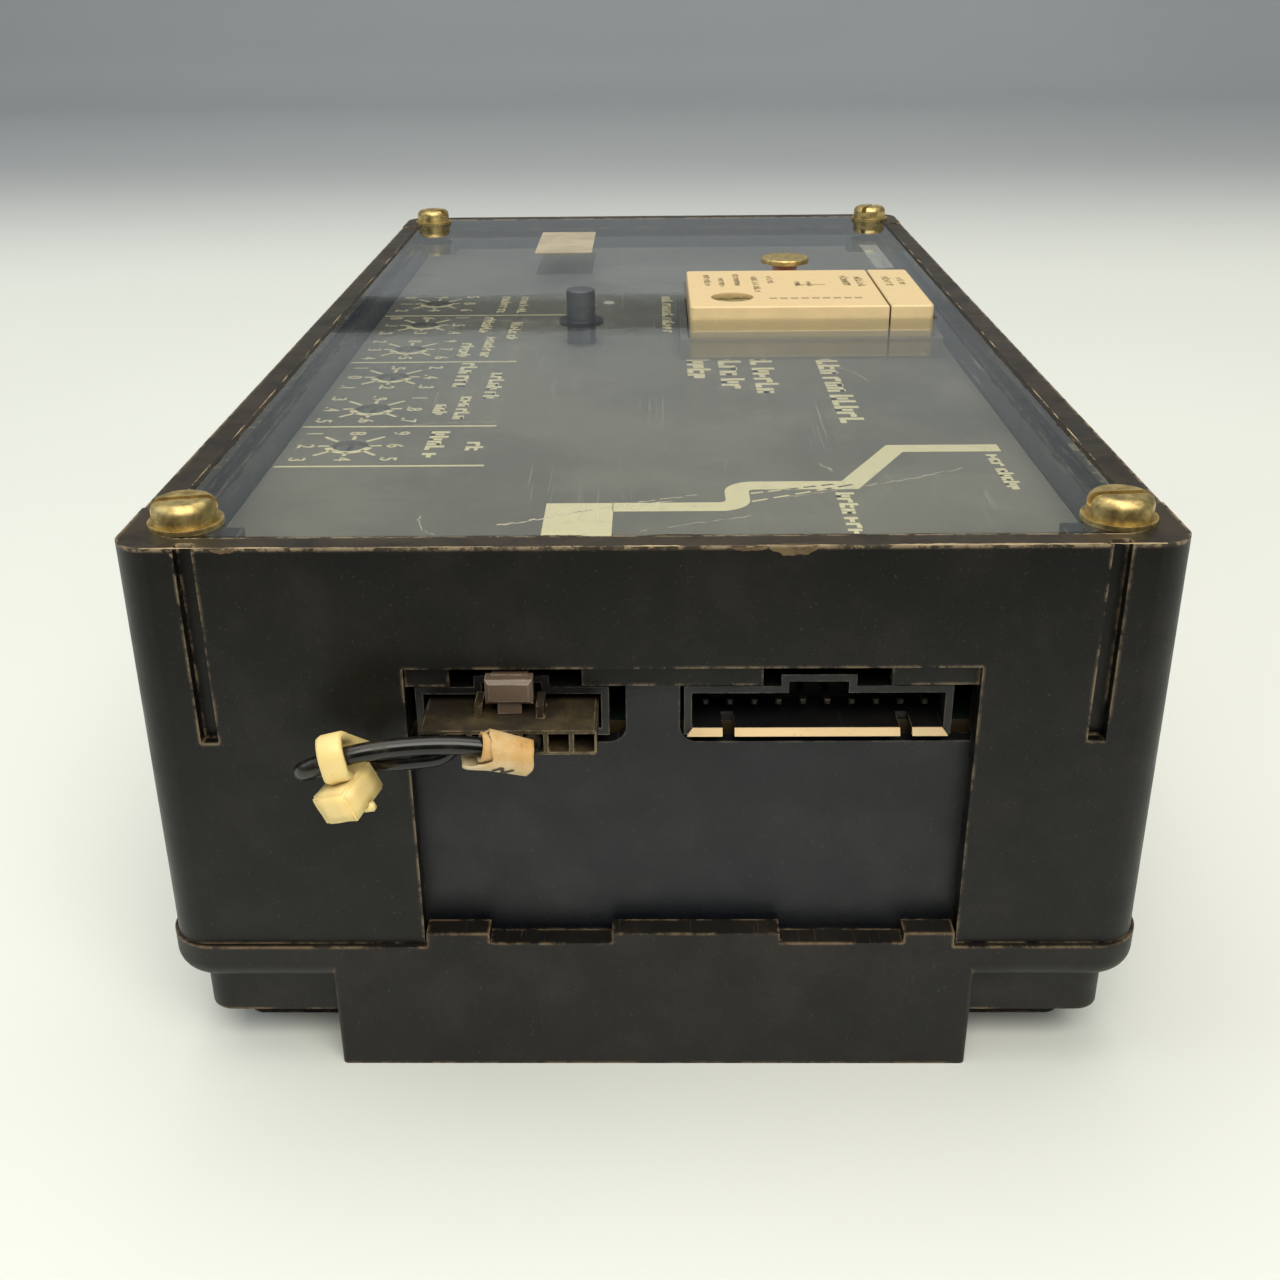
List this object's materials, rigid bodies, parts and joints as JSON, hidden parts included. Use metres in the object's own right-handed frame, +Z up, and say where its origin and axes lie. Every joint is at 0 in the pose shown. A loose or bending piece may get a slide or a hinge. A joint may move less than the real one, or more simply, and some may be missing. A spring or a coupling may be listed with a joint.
{
  "type": "electronic trip unit",
  "caption": "Boxed electronic trip unit for a power circuit breaker: clear screwed cover over a printed faceplate with dials, plug-in rating module, connectors at one end.",
  "frame": {"origin": "centre of the underside of the rear base, on the surface it lies on", "axes": "+Z up through the clear cover, -Y towards the connector end, +X to the right seen from the connector end"},
  "size_m": [0.1078, 0.2117, 0.0662],
  "materials": {
    "housing": "moulded thermoset, worn edges",
    "base": "moulded thermoset",
    "panel": "satin moulded panel",
    "cover": "clear polycarbonate",
    "label": "aged paper label",
    "brass": "tarnished",
    "faceplate": "screen-printed panel",
    "dial": "moulded rotor",
    "board": "solder resist",
    "steel": "plated",
    "header": "moulded nylon",
    "plug": "dusty moulded nylon",
    "latch": "rubbed nylon",
    "wire": "glossy insulation",
    "nylon": "aged natural nylon",
    "marker": "aged sleeve",
    "cream": "yellowed moulding",
    "red": "faded moulding",
    "black": "moulded",
    "lens": "diffused lens",
    "core": "varnished laminations",
    "winding": "taped winding",
    "can": "shrink sleeve",
    "ferrite": "coated core",
    "alloy": "extruded",
    "chip": "moulded package"
  },
  "bodies": {
    "case": {"base_screws": "steel", "board_link": "header", "board_screws": "steel", "board_standoffs": "brass", "capacitor_1": "can", "capacitor_2": "can", "connector_panel": "panel", "cover_inserts": "brass", "current_transformer_1": "core", "current_transformer_2": "core", "current_transformer_3": "core", "current_transformer_4": "core", "dial_switches": "header", "faceplate": "faceplate", "heat_sink": "alloy", "housing": "housing", "main_board": "board", "open_header_pins": "steel", "open_header_shroud": "header", "plugged_header_pins": "steel", "plugged_header_shroud": "header", "power_board": "board", "power_inductor": "ferrite", "processor_chip": "chip", "rating_plug_socket": "header", "rear_base": "base", "regulator": "chip", "reset_switch": "black", "status_light": "lens", "test_switch": "black", "transformer_windings": "winding"},
    "cover": {"clear_cover": "cover", "cover_label": "label", "cover_screws": "brass", "cover_washers": "brass"},
    "reset_button": {"reset_button_stem": "red", "reset_button_cap": "brass", "reset_button_clip": "black"},
    "test_button": {"test_button": "black", "test_button_clip": "black"},
    "rating_plug": {"rating_plug": "cream", "rating_plug_board": "board", "rating_plug_pins": "brass"},
    "rating_screw": {"rating_plug_screw": "brass"},
    "battery": {"battery_tray": "cream", "battery_cell": "steel"},
    "jumper": {"plug_body": "plug", "plug_contacts": "steel", "jumper_wire": "wire", "cable_tie": "nylon", "wire_marker": "marker"},
    "latch": {"plug_latch": "latch"},
    "dial_1": {"dial_1": "dial"},
    "dial_2": {"dial_2": "dial"},
    "dial_3": {"dial_3": "dial"},
    "dial_4": {"dial_4": "dial"},
    "dial_5": {"dial_5": "dial"},
    "dial_6": {"dial_6": "dial"}
  },
  "joints": [
    {"name": "cover_lift", "type": "slide", "parent": "case", "child": "cover", "axis": [0, 0, 1], "range_m": [0, 0.015]},
    {"name": "reset_press", "type": "slide", "parent": "cover", "child": "reset_button", "axis": [0, 0, -1], "range_m": [0, 0.0012], "stiffness_N_per_m": 250, "springref_m": -0.001},
    {"name": "test_press", "type": "slide", "parent": "cover", "child": "test_button", "axis": [0, 0, -1], "range_m": [0, 0.0012], "stiffness_N_per_m": 250, "springref_m": -0.001},
    {"name": "rating_plug_lift", "type": "slide", "parent": "case", "child": "rating_plug", "axis": [0, 0, 1], "range_m": [0, 0.02]},
    {"name": "rating_screw_turn", "type": "hinge", "parent": "rating_plug", "child": "rating_screw", "pos_m": [0.0131, 0.0046, 0.0645], "axis": [0, 0, 1], "continuous": true},
    {"name": "battery_lift", "type": "slide", "parent": "rating_plug", "child": "battery", "axis": [0, 0, 1], "range_m": [0, 0.018]},
    {"name": "plug_pull", "type": "slide", "parent": "case", "child": "jumper", "axis": [0, -1, 0], "range_m": [0, 0.01]},
    {"name": "latch_flex", "type": "hinge", "parent": "jumper", "child": "latch", "pos_m": [-0.01425, -0.0997, 0.0454], "axis": [1, 0, 0], "range_deg": [0, 3.5], "stiffness_Nm_per_rad": 0.02, "springref_deg": -1.15},
    {"name": "dial_1_turn", "type": "hinge", "parent": "case", "child": "dial_1", "pos_m": [-0.0394, -0.0475, 0.0566], "axis": [0, 0, 1], "range_deg": [-157.5, 157.5]},
    {"name": "dial_2_turn", "type": "hinge", "parent": "case", "child": "dial_2", "pos_m": [-0.0394, -0.0303, 0.0566], "axis": [0, 0, 1], "range_deg": [-157.5, 157.5]},
    {"name": "dial_3_turn", "type": "hinge", "parent": "case", "child": "dial_3", "pos_m": [-0.0394, -0.0131, 0.0566], "axis": [0, 0, 1], "range_deg": [-157.5, 157.5]},
    {"name": "dial_4_turn", "type": "hinge", "parent": "case", "child": "dial_4", "pos_m": [-0.0394, 0.0041, 0.0566], "axis": [0, 0, 1], "range_deg": [-157.5, 157.5]},
    {"name": "dial_5_turn", "type": "hinge", "parent": "case", "child": "dial_5", "pos_m": [-0.0394, 0.0213, 0.0566], "axis": [0, 0, 1], "range_deg": [-157.5, 157.5]},
    {"name": "dial_6_turn", "type": "hinge", "parent": "case", "child": "dial_6", "pos_m": [-0.0394, 0.0385, 0.0566], "axis": [0, 0, 1], "range_deg": [-157.5, 157.5]}
  ]
}
